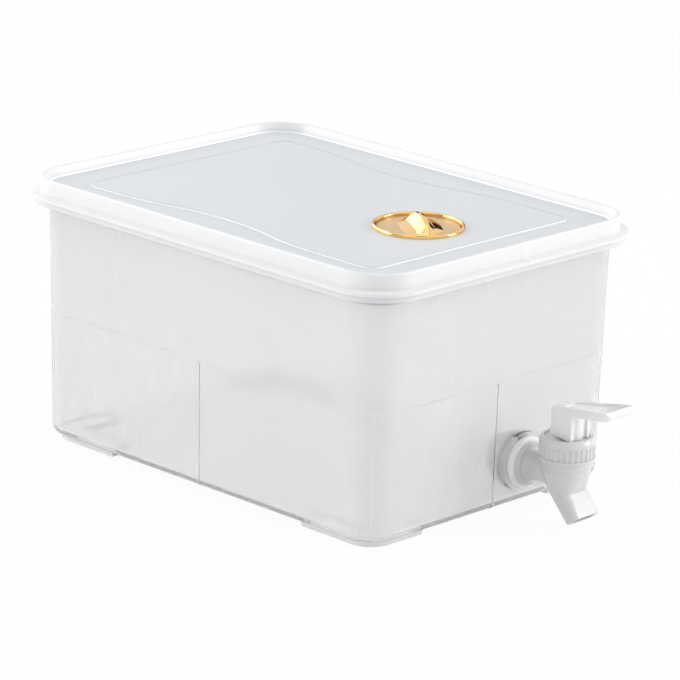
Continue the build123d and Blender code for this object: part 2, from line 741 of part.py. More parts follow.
# Paddle: the side outline, cut to the plan outline, with a slot for the stem and a dished top
paddle_run = lever_reach + lever_back - paddle_tip_chamfer
paddle_angle = atan2(paddle_tip_rise, paddle_run)
tip_height = pin_height + lever_top + paddle_tip_rise
root_under = pin_height + lever_top - paddle_root_drop
half_root = lever_width / 2
half_tip = paddle_width / 2
slot_width = knuckle_width + 2 * cheek_gap
paddle_top = Plane(
    origin=(tap_x, tap_y, pin_height + lever_top + lever_back * tan(paddle_angle)),
    x_dir=(1, 0, 0),
    z_dir=(0, sin(paddle_angle), cos(paddle_angle)),
)
with BuildPart() as tap_lever:
    with BuildSketch(tap_section(-half_tip)) as lever_side:
        with BuildLine():
            Polyline(
                (-lever_front + heel_flat, pin_height - heel_drop),
                (lever_back, pin_height - lever_tail),
                (lever_back, pin_height + lever_top),
                (-lever_reach + paddle_tip_chamfer, tip_height),
                (-lever_reach, tip_height - paddle_tip_chamfer),
                (-lever_reach + paddle_tip_chamfer / 2, tip_height - paddle_tip_drop),
                (-lever_front, root_under),
                (-lever_front, pin_height - heel_drop),
                close=True,
            )
        make_face()
        corners = lever_side.vertices()
        fillet(corners.sort_by_distance((lever_back, pin_height + lever_top))[0], lever_round)
        fillet(corners.sort_by_distance((-lever_front, root_under))[0], lever_round)
        fillet(corners.sort_by_distance((-lever_front, pin_height - heel_drop))[0], heel_round)
    extrude(amount=paddle_width)
    with BuildSketch(tap_level(0)) as lever_plan:
        Polygon(
            (-half_root, lever_back), (-half_root, -lever_front),
            (-half_tip, -lever_reach + 2 * paddle_corner), (-half_tip, -lever_reach),
            (half_tip, -lever_reach), (half_tip, -lever_reach + 2 * paddle_corner),
            (half_root, -lever_front), (half_root, lever_back),
            align=None,
        )
        fillet(lever_plan.vertices().sort_by(Axis.Y)[:2], paddle_corner)
    extrude(amount=2 * pin_height, mode=Mode.INTERSECT)
    with BuildSketch(tap_level(0)):
        with Locations((0, -lever_front)):
            Rectangle(lever_width - 2 * cheek_wall, 2 * front_recess)
        with Locations((0, -lever_front + front_recess + sleeve_radius - front_web)):
            Circle(sleeve_radius, mode=Mode.SUBTRACT)
    extrude(amount=root_under, mode=Mode.SUBTRACT)
    with BuildSketch(tap_section(-slot_width / 2)):
        with BuildLine():
            slot_back = lever_back - cheek_web
            slot_front = -lever_front + front_recess + front_web
            Polyline(
                (slot_back, 0),
                (slot_back, pin_height + slot_roof),
                (slot_front, pin_height + slot_roof),
                (slot_front, 0),
                close=True,
            )
        make_face()
    extrude(amount=slot_width, mode=Mode.SUBTRACT)
    with BuildSketch(tap_section(-bar_length / 2 - free_gap)):
        with Locations((0, pin_height)):
            Circle(bar_radius + shaft_gap)
            Rectangle(snap_width, lever_top, align=(Align.CENTER, Align.MAX))
    extrude(amount=bar_length + 2 * free_gap, mode=Mode.SUBTRACT)
    with BuildSketch(paddle_top) as dish:
        Polygon(
            (-half_root + dish_margin, -dish_setback), (-half_root + dish_margin, -lever_front),
            (-half_tip + dish_margin, -lever_reach + 2 * dish_margin),
            (half_tip - dish_margin, -lever_reach + 2 * dish_margin),
            (half_root - dish_margin, -lever_front), (half_root - dish_margin, -dish_setback),
            align=None,
        )
        fillet(dish.vertices().sort_by(Axis.Y)[:2], paddle_corner - dish_margin / 2)
        fillet(dish.vertices().sort_by(Axis.Y)[-2:], paddle_corner - dish_margin / 2)
    extrude(amount=-dish_depth, mode=Mode.SUBTRACT)
tap_lever.part.label = "tap_lever"

for piece in (tank, lid, lid_seal, vent_bezel, vent_dial, vent_gasket, vent_retainer, vent_screw,
              tap_body, outer_washer, inner_washer, lock_nut, tap_bonnet, seat_cup, tap_stem,
              tap_spring, tap_lever):
    export_step(piece.part, f"parts/{piece.part.label}.step")
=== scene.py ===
"""Fridge drink dispenser, dressed for its portrait.

Every size is in metres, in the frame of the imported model: Z is up and the tap points to -Y. The
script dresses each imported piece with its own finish, models the gold bezel and dial by hand, and
sets up a plain white studio with the camera at the photograph's viewing angle.
"""

import json
import logging
import math
from dataclasses import dataclass, fields
from enum import Enum
from typing import Callable

import bmesh
import bpy
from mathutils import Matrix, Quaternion, Vector

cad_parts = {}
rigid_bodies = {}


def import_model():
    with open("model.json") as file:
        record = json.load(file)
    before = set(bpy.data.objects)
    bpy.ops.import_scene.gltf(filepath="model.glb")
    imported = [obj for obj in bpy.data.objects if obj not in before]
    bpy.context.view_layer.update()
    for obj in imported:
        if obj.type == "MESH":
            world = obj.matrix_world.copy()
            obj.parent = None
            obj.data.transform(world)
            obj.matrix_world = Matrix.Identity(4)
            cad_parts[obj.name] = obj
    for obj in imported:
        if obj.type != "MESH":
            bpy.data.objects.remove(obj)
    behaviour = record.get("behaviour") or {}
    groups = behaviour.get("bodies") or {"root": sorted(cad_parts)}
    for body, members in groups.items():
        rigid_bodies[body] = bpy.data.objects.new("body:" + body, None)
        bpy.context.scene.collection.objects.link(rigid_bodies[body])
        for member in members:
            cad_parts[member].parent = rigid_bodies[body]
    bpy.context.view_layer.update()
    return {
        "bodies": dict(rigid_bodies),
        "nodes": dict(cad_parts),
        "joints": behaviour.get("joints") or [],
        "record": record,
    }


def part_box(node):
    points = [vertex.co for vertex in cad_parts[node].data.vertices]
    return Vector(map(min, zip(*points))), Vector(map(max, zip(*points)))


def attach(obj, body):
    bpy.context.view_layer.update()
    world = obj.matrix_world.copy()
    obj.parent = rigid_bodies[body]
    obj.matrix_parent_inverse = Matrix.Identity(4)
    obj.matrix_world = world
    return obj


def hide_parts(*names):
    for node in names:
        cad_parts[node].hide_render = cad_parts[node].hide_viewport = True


LOG = logging.getLogger("dispenser")
MERGE_DISTANCE = 1e-5
CREASE_ANGLE = math.radians(28)
BEVEL_ANGLE = math.radians(35)
BEVEL_SEGMENTS = 3
NODE_SPACING = 220
CLOUD_LOW = 0.3
CLOUD_HIGH = 0.7

Colour = tuple[float, float, float, float]
Point = tuple[float, float, float]
Profile = list[tuple[float, float]]
Curve = tuple[tuple[float, float], ...]


class Body(Enum):
    """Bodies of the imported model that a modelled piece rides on."""

    LID = "lid"
    VENT = "vent"


class Slot(Enum):
    """Material slots of the record, named where a modelled piece is placed."""

    GOLD = "gold_finish"


@dataclass(frozen=True)
class Socket:
    """One socket of a node group.

    Args:
        name: what the socket is called
        kind: the socket's type in Blender
        default: its value while nothing is linked
    """

    name: str
    kind: str
    default: object = None


class NodeSheet:
    """A node tree that is written from left to right, one node at a time."""

    def __init__(self, tree: bpy.types.NodeTree) -> None:
        """Start a sheet on a tree.

        Args:
            tree: the tree of a material, a world or a group
        """
        self.tree = tree
        self.column = 0

    def add(self, kind: str, **settings: object) -> bpy.types.Node:
        """Add a node and place it to the right of the last one.

        Args:
            kind: the node's type
            **settings: properties of the node itself

        Returns:
            The new node.
        """
        node = self.tree.nodes.new(kind)
        node.location = (NODE_SPACING * self.column, 0)
        self.column += 1
        for name, value in settings.items():
            setattr(node, name, value)
        return node

    def link(self, source: bpy.types.NodeSocket, target: bpy.types.NodeSocket) -> None:
        """Join an output to an input."""
        self.tree.links.new(source, target)

    def math(self, operation: str, first: object, second: object = None) -> bpy.types.NodeSocket:
        """Work out one number from one or two others.

        Args:
            operation: the Math node's operation
            first: a socket or a plain number
            second: a socket or a plain number, where the operation takes two

        Returns:
            The socket that holds the result.
        """
        node = self.add("ShaderNodeMath", operation=operation)
        for index, value in enumerate((first, second)):
            if value is None:
                continue
            if isinstance(value, bpy.types.NodeSocket):
                self.link(value, node.inputs[index])
            else:
                node.inputs[index].default_value = value
        return node.outputs[0]

    def ramp(
        self, value: bpy.types.NodeSocket, low: float, high: float, to_low: float, to_high: float
    ) -> bpy.types.NodeSocket:
        """Map a number from one range to another, held at the ends.

        Args:
            value: the number
            low: start of its range
            high: end of its range
            to_low: result at the start
            to_high: result at the end

        Returns:
            The socket that holds the mapped number.
        """
        node = self.add("ShaderNodeMapRange")
        self.link(value, node.inputs["Value"])
        names = ("From Min", "From Max", "To Min", "To Max")
        for name, number in zip(names, (low, high, to_low, to_high)):
            node.inputs[name].default_value = number
        return node.outputs["Result"]

    def blend(self, factor: bpy.types.NodeSocket, first: object, second: object) -> bpy.types.NodeSocket:
        """Mix two colours by a mask.

        Args:
            factor: the mask, from 0 to 1
            first: colour or socket where the mask is 0
            second: colour or socket where the mask is 1

        Returns:
            The socket that holds the mixed colour.
        """
        node = self.add("ShaderNodeMix", data_type="RGBA")
        self.link(factor, node.inputs["Factor"])
        for index, value in ((6, first), (7, second)):
            if isinstance(value, bpy.types.NodeSocket):
                self.link(value, node.inputs[index])
            else:
                node.inputs[index].default_value = value
        return node.outputs[2]


class SharedGroups:
    """Node groups that several finishes use, each built once."""

    peel_detail = 2.0
    cloud_detail = 3.0
    cloud_roughness = 0.45

    def __init__(self) -> None:
        """Build the groups."""
        self.skin = self.build_moulded_skin()
        self.rim = self.build_rim_distance()

    @staticmethod
    def start(name: str, inputs: list[Socket], outputs: list[Socket]) -> NodeSheet:
        """Make an empty group with its sockets.

        Args:
            name: the group's name
            inputs: its input sockets
            outputs: its output sockets

        Returns:
            A sheet on the group's tree.
        """
        tree = bpy.data.node_groups.new(name, "ShaderNodeTree")
        for direction, sockets in (("INPUT", inputs), ("OUTPUT", outputs)):
            for socket in sockets:
                made = tree.interface.new_socket(
                    name=socket.name, in_out=direction, socket_type=socket.kind
                )
                if socket.default is not None:
                    made.default_value = socket.default
        return NodeSheet(tree)

    def build_moulded_skin(self) -> bpy.types.NodeTree:
        """Build the fine orange-peel height and the soft cloudiness of moulded plastic.

        Returns:
            The group, with outputs Height and Cloud.
        """
        sheet = self.start(
            "moulded_skin",
            [
                Socket("Vector", "NodeSocketVector"),
                Socket("Peel Scale", "NodeSocketFloat", 900.0),
                Socket("Cloud Scale", "NodeSocketFloat", 18.0),
            ],
            [Socket("Height", "NodeSocketFloat"), Socket("Cloud", "NodeSocketFloat")],
        )
        source = sheet.add("NodeGroupInput")
        peel = sheet.add("ShaderNodeTexNoise")
        peel.inputs["Detail"].default_value = self.peel_detail
        sheet.link(source.outputs["Vector"], peel.inputs["Vector"])
        sheet.link(source.outputs["Peel Scale"], peel.inputs["Scale"])
        cloud = sheet.add("ShaderNodeTexNoise")
        cloud.inputs["Detail"].default_value = self.cloud_detail
        cloud.inputs["Roughness"].default_value = self.cloud_roughness
        sheet.link(source.outputs["Vector"], cloud.inputs["Vector"])
        sheet.link(source.outputs["Cloud Scale"], cloud.inputs["Scale"])
        out = sheet.add("NodeGroupOutput")
        sheet.link(peel.outputs["Fac"], out.inputs["Height"])
        sheet.link(cloud.outputs["Fac"], out.inputs["Cloud"])
        return sheet.tree

    def build_rim_distance(self) -> bpy.types.NodeTree:
        """Build the distance from a rounded rectangle's edge, measured inwards.

        Returns:
            The group, with output Inset in metres.
        """
        sheet = self.start(
            "rim_distance",
            [
                Socket("Vector", "NodeSocketVector"),
                Socket("Half Width", "NodeSocketFloat", 0.1),
                Socket("Half Length", "NodeSocketFloat", 0.13),
                Socket("Radius", "NodeSocketFloat", 0.02),
            ],
            [Socket("Inset", "NodeSocketFloat")],
        )
        source = sheet.add("NodeGroupInput")
        axes = sheet.add("ShaderNodeSeparateXYZ")
        sheet.link(source.outputs["Vector"], axes.inputs[0])
        squares = []
        inners = []
        for axis, half in (("X", "Half Width"), ("Y", "Half Length")):
            core = sheet.math("SUBTRACT", source.outputs[half], source.outputs["Radius"])
            beyond = sheet.math("SUBTRACT", sheet.math("ABSOLUTE", axes.outputs[axis]), core)
            inners.append(beyond)
            outside = sheet.math("MAXIMUM", beyond, 0.0)
            squares.append(sheet.math("MULTIPLY", outside, outside))
        corner = sheet.math("SQRT", sheet.math("ADD", squares[0], squares[1]))
        inner = sheet.math("MINIMUM", sheet.math("MAXIMUM", inners[0], inners[1]), 0.0)
        reach = sheet.math("ADD", corner, inner)
        inset = sheet.math("SUBTRACT", source.outputs["Radius"], reach)
        out = sheet.add("NodeGroupOutput")
        sheet.link(inset, out.inputs["Inset"])
        return sheet.tree


@dataclass(frozen=True)
class Draft:
    """A material that is being built.

    Args:
        material: the material
        sheet: the sheet on its tree
        shader: its Principled shader
        place: its coordinate node
        skin: its moulded skin group
        groups: the shared node groups
    """

    material: bpy.types.Material
    sheet: NodeSheet
    shader: bpy.types.Node
    place: bpy.types.Node
    skin: bpy.types.Node
    groups: SharedGroups

    def clouded(self, first: Colour, second: Colour) -> bpy.types.NodeSocket:
        """Mix two colours by the skin's clouding.

        Args:
            first: colour where it is clear
            second: colour where it is deepest

        Returns:
            The socket that holds the mixed colour.
        """
        return self.sheet.blend(self.skin.outputs["Cloud"], first, second)

    def cloud(self, low: float, high: float) -> bpy.types.NodeSocket:
        """Spread a value over a range by the skin's clouding.

        Args:
            low: the value where the clouding is least
            high: the value where it is deepest

        Returns:
            The socket that holds the value.
        """
        return self.sheet.ramp(self.skin.outputs["Cloud"], CLOUD_LOW, CLOUD_HIGH, low, high)

    def axes(self) -> bpy.types.Node:
        """Return a node that splits the place on the piece into its axes."""
        axes = self.sheet.add("ShaderNodeSeparateXYZ")
        self.sheet.link(self.place.outputs["Object"], axes.inputs[0])
        return axes


@dataclass(frozen=True)
class Finish:
    """A plain moulded finish: colour with soft clouding, roughness with a slight change, fine peel.

    Args:
        name: the material's name
        colour: base colour
        shade: base colour where the clouding is deepest
        roughness: mean roughness
        spread: how far the roughness changes over the surface
        peel: height of the orange peel, in metres
        transmission: share of light that passes through
        metallic: 1 on metal, 0 on plastic
        ior: index of refraction
    """

    name: str
    colour: Colour
    shade: Colour
    roughness: float = 0.35
    spread: float = 0.06
    peel: float = 0.00002
    transmission: float = 0.0
    metallic: float = 0.0
    ior: float = 1.46

    def start(self, groups: SharedGroups) -> Draft:
        """Make the material with its shader, place and skin nodes.

        Args:
            groups: the shared node groups

        Returns:
            The material with its nodes.
        """
        material = bpy.data.materials.new(self.name)
        material.use_nodes = True
        material.node_tree.nodes.clear()
        sheet = NodeSheet(material.node_tree)
        place = sheet.add("ShaderNodeTexCoord")
        skin = sheet.add("ShaderNodeGroup", node_tree=groups.skin)
        sheet.link(place.outputs["Object"], skin.inputs["Vector"])
        shader = sheet.add("ShaderNodeBsdfPrincipled")
        shader.inputs["Metallic"].default_value = self.metallic
        shader.inputs["IOR"].default_value = self.ior
        shader.inputs["Transmission Weight"].default_value = self.transmission
        out = sheet.add("ShaderNodeOutputMaterial")
        sheet.link(shader.outputs[0], out.inputs["Surface"])
        if self.peel:
            bump = sheet.add("ShaderNodeBump")
            bump.inputs["Distance"].default_value = self.peel
            sheet.link(skin.outputs["Height"], bump.inputs["Height"])
            sheet.link(bump.outputs["Normal"], shader.inputs["Normal"])
        return Draft(material, sheet, shader, place, skin, groups)

    def build(self, groups: SharedGroups) -> bpy.types.Material:
        """Make the material.

        Args:
            groups: the shared node groups

        Returns:
            The finished material.
        """
        draft = self.start(groups)
        self.paint(draft)
        return draft.material

    def paint(self, draft: Draft) -> None:
        """Link the colour and the roughness.

        Args:
            draft: the material's nodes
        """
        sheet = draft.sheet
        sheet.link(draft.clouded(self.colour, self.shade), draft.shader.inputs["Base Color"])
        if self.spread:
            gloss = draft.cloud(self.roughness - self.spread, self.roughness + self.spread)
            sheet.link(gloss, draft.shader.inputs["Roughness"])
        else:
            draft.shader.inputs["Roughness"].default_value = self.roughness


@dataclass(frozen=True)
class TankFinish(Finish):
    """Milky tank plastic, with a painted highlight along the step and the ribs: white bands that lighten
    the shade on their small faces.

    Args:
        thick: colour of the painted highlight along the step and the ribs
        step_height: height of the step round the wall
        step_band: half of the step's band of painted highlight
        rib_band: half of a rib's band of painted highlight
        full_share: share of a band that has its full brightness
        centre_y: middle of the box along Y
        core: half width and half length of the rectangle that the corner ribs point from
    """

    thick: Colour = (1.0, 1.0, 1.0, 1.0)
    step_height: float = 0.07
    step_band: float = 0.0007
    rib_band: float = 0.001
    full_share: float = 0.6
    centre_y: float = 0.0269
    core: tuple[float, float] = (0.0705, 0.1045)

    def paint(self, draft: Draft) -> None:
        """Link the colour and the roughness.

        Args:
            draft: the material's nodes
        """
        sheet = draft.sheet
        axes = draft.axes()
        across = sheet.math("ABSOLUTE", axes.outputs["X"])
        along = sheet.math("ABSOLUTE", sheet.math("SUBTRACT", axes.outputs["Y"], self.centre_y))
        past_side = sheet.math("SUBTRACT", across, self.core[0])
        past_end = sheet.math("SUBTRACT", along, self.core[1])
        diagonal = sheet.math("ABSOLUTE", sheet.math("SUBTRACT", past_side, past_end))
        rib = sheet.math("MINIMUM", sheet.math("MINIMUM", across, along), diagonal)
        rib_highlight_mask = sheet.ramp(rib, self.rib_band * self.full_share, self.rib_band, 1.0, 0.0)
        height = axes.outputs["Z"]
        below = sheet.ramp(height, self.step_height - self.step_band, self.step_height, 1.0, 0.0)
        rise = sheet.math("ABSOLUTE", sheet.math("SUBTRACT", height, self.step_height))
        step_highlight_mask = sheet.ramp(rise, self.step_band * self.full_share, self.step_band, 1.0, 0.0)
        # Painted highlight: the step's band, and each rib's band below the step, are whitened over the
        # shade on their small faces.
        mask = sheet.math("MAXIMUM", step_highlight_mask, sheet.math("MULTIPLY", rib_highlight_mask, below))
        wall = draft.clouded(self.colour, self.shade)
        sheet.link(sheet.blend(mask, wall, self.thick), draft.shader.inputs["Base Color"])
        draft.shader.inputs["Roughness"].default_value = self.roughness


@dataclass(frozen=True)
class LidFinish(Finish):
    """Lid plastic: opaque bright ring and a greyer, frosted panel inside it, with a painted highlight up
    the raised panel's edge.

    Args:
        panel: colour of the frosted panel
        panel_roughness: its roughness
        half_width: half of the lid's width
        half_length: half of the lid's length
        radius: corner radius of the lid's edge
        centre_y: middle of the box along Y
        ring_inset: inset at which the ring's inner foot ends
        blend_width: width over which one finish turns into the other
        bead: colour of the painted highlight up the raised panel's edge, laid over the shade on its side
            wall
        bead_bottom: height at which that edge starts
        bead_top: height at which it ends
        bead_blend: height over which the line fades at either end
    """

    panel: Colour = (0.665, 0.675, 0.69, 1.0)
    panel_roughness: float = 0.5
    half_width: float = 0.0985
    half_length: float = 0.1325
    radius: float = 0.028
    centre_y: float = 0.0269
    ring_inset: float = 0.0088
    blend_width: float = 0.0012
    bead: Colour = (1.0, 1.0, 1.0, 1.0)
    bead_bottom: float = 0.1364
    bead_top: float = 0.13735
    bead_blend: float = 0.0001

    def paint(self, draft: Draft) -> None:
        """Link the colour and the roughness.

        Args:
            draft: the material's nodes
        """
        sheet = draft.sheet
        centred = sheet.add("ShaderNodeMapping")
        centred.inputs["Location"].default_value = (0, -self.centre_y, 0)
        sheet.link(draft.place.outputs["Object"], centred.inputs["Vector"])
        rim = sheet.add("ShaderNodeGroup", node_tree=draft.groups.rim)
        sheet.link(centred.outputs[0], rim.inputs["Vector"])
        rim.inputs["Half Width"].default_value = self.half_width
        rim.inputs["Half Length"].default_value = self.half_length
        rim.inputs["Radius"].default_value = self.radius
        start = self.ring_inset - self.blend_width
        mask = sheet.ramp(rim.outputs["Inset"], start, self.ring_inset, 0.0, 1.0)
        cover = sheet.blend(mask, draft.clouded(self.colour, self.shade), self.panel)
        # Painted highlight: the side wall of the raised panel, between these heights, is whitened over
        # its shade.
        rise = draft.axes().outputs["Z"]
        over = sheet.ramp(rise, self.bead_bottom, self.bead_bottom + self.bead_blend, 0.0, 1.0)
        under = sheet.ramp(rise, self.bead_top - self.bead_blend, self.bead_top, 1.0, 0.0)
        edge = sheet.math("MULTIPLY", sheet.math("MULTIPLY", over, under), mask)
        sheet.link(sheet.blend(edge, cover, self.bead), draft.shader.inputs["Base Color"])
        gloss = sheet.ramp(mask, 0.0, 1.0, self.roughness, self.panel_roughness)
        cloud = draft.cloud(-self.spread, self.spread)
        sheet.link(sheet.math("ADD", gloss, cloud), draft.shader.inputs["Roughness"])


@dataclass(frozen=True)
class GoldFinish(Finish):
    """Gold coating: polished above a height, and a matt tan film on the dial's floor below it.

    Args:
        floor: colour of the matt floor
        floor_roughness: its roughness
        floor_height: height below which the surface is floor
        floor_blend: height over which the floor's finish turns into the polished one
    """

    floor: Colour = (0.68, 0.5, 0.31, 1.0)
    floor_roughness: float = 0.55
    floor_height: float = 0.1375
    floor_blend: float = 0.00015

    def paint(self, draft: Draft) -> None:
        """Link the colour and the roughness.

        Args:
            draft: the material's nodes
        """
        sheet = draft.sheet
        high = self.floor_height + self.floor_blend
        mask = sheet.ramp(draft.axes().outputs["Z"], self.floor_height, high, 1.0, 0.0)
        bright = draft.clouded(self.colour, self.shade)
        sheet.link(sheet.blend(mask, bright, self.floor), draft.shader.inputs["Base Color"])
        polish = draft.cloud(self.roughness - self.spread, self.roughness + self.spread)
        step = sheet.math("MULTIPLY", mask, self.floor_roughness - self.roughness)
        sheet.link(sheet.math("ADD", polish, step), draft.shader.inputs["Roughness"])


@dataclass(frozen=True)
class Palette:
    """All finishes of the dispenser, by name."""

    tank: TankFinish = TankFinish(
        "natural_polypropylene",
        (0.965, 0.965, 0.97, 1),
        (0.945, 0.945, 0.955, 1),
        0.13,
        0.0,
        0.00003,
        transmission=0.74,
        ior=1.24,
    )
    tank_thick: Finish = Finish(
        "thick_polypropylene",
        (0.96, 0.96, 0.965, 1),
        (0.94, 0.94, 0.95, 1),
        0.2,
        0.0,
        0.00003,
        transmission=0.3,
        ior=1.24,
    )
    lid: LidFinish = LidFinish(
        "lid_white", (0.83, 0.83, 0.83, 1), (0.8, 0.8, 0.8, 1), 0.3, 0.04, 0.00002
    )
    # Painted shade: the tap's body, cap, stem and lock nut take the lever's white plastic set darker and
    # warmer, standing in for their shade.
    tap: Finish = Finish(
        "tap_white_painted_shade", (0.71, 0.695, 0.68, 1), (0.68, 0.665, 0.65, 1), 0.2, 0.04, 0.00001, ior=1.5
    )
    lever: Finish = Finish(
        "lever_white", (0.9, 0.895, 0.885, 1), (0.87, 0.865, 0.855, 1), 0.2, 0.04, 0.00001, ior=1.5
    )
    gold: GoldFinish = GoldFinish(
        "gold_coating", (0.9, 0.62, 0.26, 1), (0.84, 0.53, 0.17, 1), 0.09, 0.02, 0.000003, metallic=1.0
    )
    silicone: Finish = Finish(
        "clear_silicone", (0.97, 0.965, 0.955, 1), (0.93, 0.925, 0.91, 1), 0.4, 0.06, 0.00001
    )
    retainer: Finish = Finish("retainer_white", (0.85, 0.85, 0.85, 1), (0.8, 0.8, 0.8, 1), 0.5, 0.06)
    steel: Finish = Finish(
        "stainless", (0.62, 0.62, 0.63, 1), (0.5, 0.5, 0.51, 1), 0.28, 0.08, 0.000005, metallic=1.0
    )


class Workbench:
    """Hand tools on Blender's own operators, for shaping one piece at a time."""

    @staticmethod
    def clear() -> None:
        """Leave edit mode and deselect everything."""
        if bpy.context.object and bpy.context.object.mode != "OBJECT":
            bpy.ops.object.mode_set(mode="OBJECT")
        bpy.ops.object.select_all(action="DESELECT")

    @classmethod
    def take(cls, piece: bpy.types.Object) -> None:
        """Select one piece alone and make it the active one.

        Args:
            piece: the object
        """
        cls.clear()
        piece.select_set(True)
        bpy.context.view_layer.objects.active = piece

    @staticmethod
    def claim(name: str) -> bpy.types.Object:
        """Name the primitive that was just added.

        Args:
            name: the piece's name

        Returns:
            The object.
        """
        made = bpy.context.object
        made.name = name
        made.data.name = name
        return made

    @classmethod
    def lathe(
        cls, name: str, centre: Point, profile: Profile, sides: int, closed: bool
    ) -> bpy.types.Object:
        """Turn a profile about an upright axis: a circle is pulled from point to point.

        Args:
            name: the piece's name
            centre: a point on the axis
            profile: radius and height of each ring, in order
            sides: how many sides the rings have
            closed: whether the last ring joins the first, as on a washer

        Returns:
            The finished mesh object, with its normals outwards.
        """
        cls.clear()
        axis_x, axis_y, base = centre
        radius, height = profile[0]
        start = (axis_x, axis_y, base + height)
        bpy.ops.mesh.primitive_circle_add(vertices=sides, radius=radius, location=start)
        piece = cls.claim(name)
        bpy.ops.object.mode_set(mode="EDIT")
        bpy.ops.mesh.select_all(action="SELECT")
        steps = profile[1:] + profile[:1] if closed else profile[1:]
        for next_radius, next_height in steps:
            step = (0, 0, next_height - height)
            bpy.ops.mesh.extrude_region_move(TRANSFORM_OT_translate={"value": step})
            scale = next_radius / radius
            middle = (axis_x, axis_y, base + next_height)
            bpy.ops.transform.resize(value=(scale, scale, 1), center_override=middle)
            radius, height = next_radius, next_height
        bpy.ops.mesh.select_all(action="SELECT")
        bpy.ops.mesh.remove_doubles(threshold=MERGE_DISTANCE)
        bpy.ops.mesh.normals_make_consistent(inside=False)
        bpy.ops.object.mode_set(mode="OBJECT")
        return cls.settle(piece)

    @staticmethod
    def pick(piece: bpy.types.Object, test: Callable[[Vector], bool]) -> None:
        """Select the corners that pass a test, in edit mode.

        Args:
            piece: the object that is being edited
            test: says of a corner's place whether it is selected
        """
        mesh = bmesh.from_edit_mesh(piece.data)
        for corner in mesh.verts:
            corner.select = test(corner.co)
        mesh.select_flush_mode()
        bmesh.update_edit_mesh(piece.data)

    @classmethod
    def close(cls, piece: bpy.types.Object) -> None:
        """Merge a piece's doubles, fill its open ends and turn its faces outwards.

        Args:
            piece: the object
        """
        cls.take(piece)
        bpy.ops.object.mode_set(mode="EDIT")
        bpy.ops.mesh.select_all(action="SELECT")
        bpy.ops.mesh.remove_doubles(threshold=MERGE_DISTANCE)
        bpy.ops.mesh.fill_holes(sides=0)
        bpy.ops.mesh.select_all(action="SELECT")
        bpy.ops.mesh.normals_make_consistent(inside=False)
        bpy.ops.object.mode_set(mode="OBJECT")

    @classmethod
    def join(cls, name: str, *pieces: bpy.types.Object) -> bpy.types.Object:
        """Make one object of several.

        Args:
            name: the joined piece's name
            *pieces: the objects

        Returns:
            The joined object.
        """
        cls.clear()
        for piece in pieces:
            piece.select_set(True)
        bpy.context.view_layer.objects.active = pieces[0]
        bpy.ops.object.join()
        return cls.claim(name)

    @classmethod
    def settle(cls, piece: bpy.types.Object) -> bpy.types.Object:
        """Move a piece's place into its mesh, so that its object sits at the origin.

        Args:
            piece: the object

        Returns:
            The same object.
        """
        cls.take(piece)
        bpy.ops.object.transform_apply(location=True, rotation=True, scale=True)
        return piece

    @classmethod
    def modify(cls, piece: bpy.types.Object, kind: str, **settings: object) -> None:
        """Add a modifier to a piece and apply it.

        Args:
            piece: the object
            kind: the modifier's type
            **settings: its properties
        """
        cls.take(piece)
        bpy.ops.object.modifier_add(type=kind)
        modifier = piece.modifiers[-1]
        for name, value in settings.items():
            setattr(modifier, name, value)
        bpy.ops.object.modifier_apply(modifier=modifier.name)

    @classmethod
    def smooth(cls, piece: bpy.types.Object, angle: float = CREASE_ANGLE) -> None:
        """Shade a piece smooth, with its sharp edges kept.

        Args:
            piece: the object
            angle: how far two faces may turn and still be shaded as one, in radians
        """
        cls.take(piece)
        bpy.ops.object.shade_smooth_by_angle(angle=angle)


class Dresser:
    """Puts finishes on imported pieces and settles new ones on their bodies."""

    def __init__(self, frame: dict) -> None:
        """Keep the frame and build the finishes.
        """
        self.nodes = frame["nodes"]
        groups = SharedGroups()
        palette = Palette()
        self.materials = {
            field.name: getattr(palette, field.name).build(groups) for field in fields(palette)
        }

    def dress(self, node: str, finish: str, bevel: float = 0.0) -> None:
        """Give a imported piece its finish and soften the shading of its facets.

        Args:
            node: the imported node's name
            finish: the finish's name in the palette
            bevel: how far its edges are rounded off, in metres
        """
        piece = self.nodes[node]
        piece.data.materials.clear()
        piece.data.materials.append(self.materials[finish])
        for polygon in piece.data.polygons:
            polygon.use_smooth = True
        weld = piece.modifiers.new("weld", "WELD")
        weld.merge_threshold = MERGE_DISTANCE
        if bevel:
            soften = piece.modifiers.new("moulded_edges", "BEVEL")
            soften.limit_method = "ANGLE"
            soften.angle_limit = BEVEL_ANGLE
            soften.width = bevel
            soften.segments = BEVEL_SEGMENTS
            soften.use_clamp_overlap = True
        split = piece.modifiers.new("creases", "EDGE_SPLIT")
        split.split_angle = CREASE_ANGLE
        piece.modifiers.new("even_normals", "WEIGHTED_NORMAL")
        LOG.info("dressed %s in %s", node, finish)

    def place(self, piece: bpy.types.Object, body: Body, slot: Slot, finish: str, *replaced: str) -> None:
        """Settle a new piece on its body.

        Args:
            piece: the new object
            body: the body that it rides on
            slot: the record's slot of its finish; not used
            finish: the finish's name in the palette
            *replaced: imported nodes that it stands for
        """
        piece.data.materials.clear()
        piece.data.materials.append(self.materials[finish])
        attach(piece, body.value)
        if replaced:
            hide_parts(*replaced)
        LOG.info("placed %s on %s", piece.name, body.value)


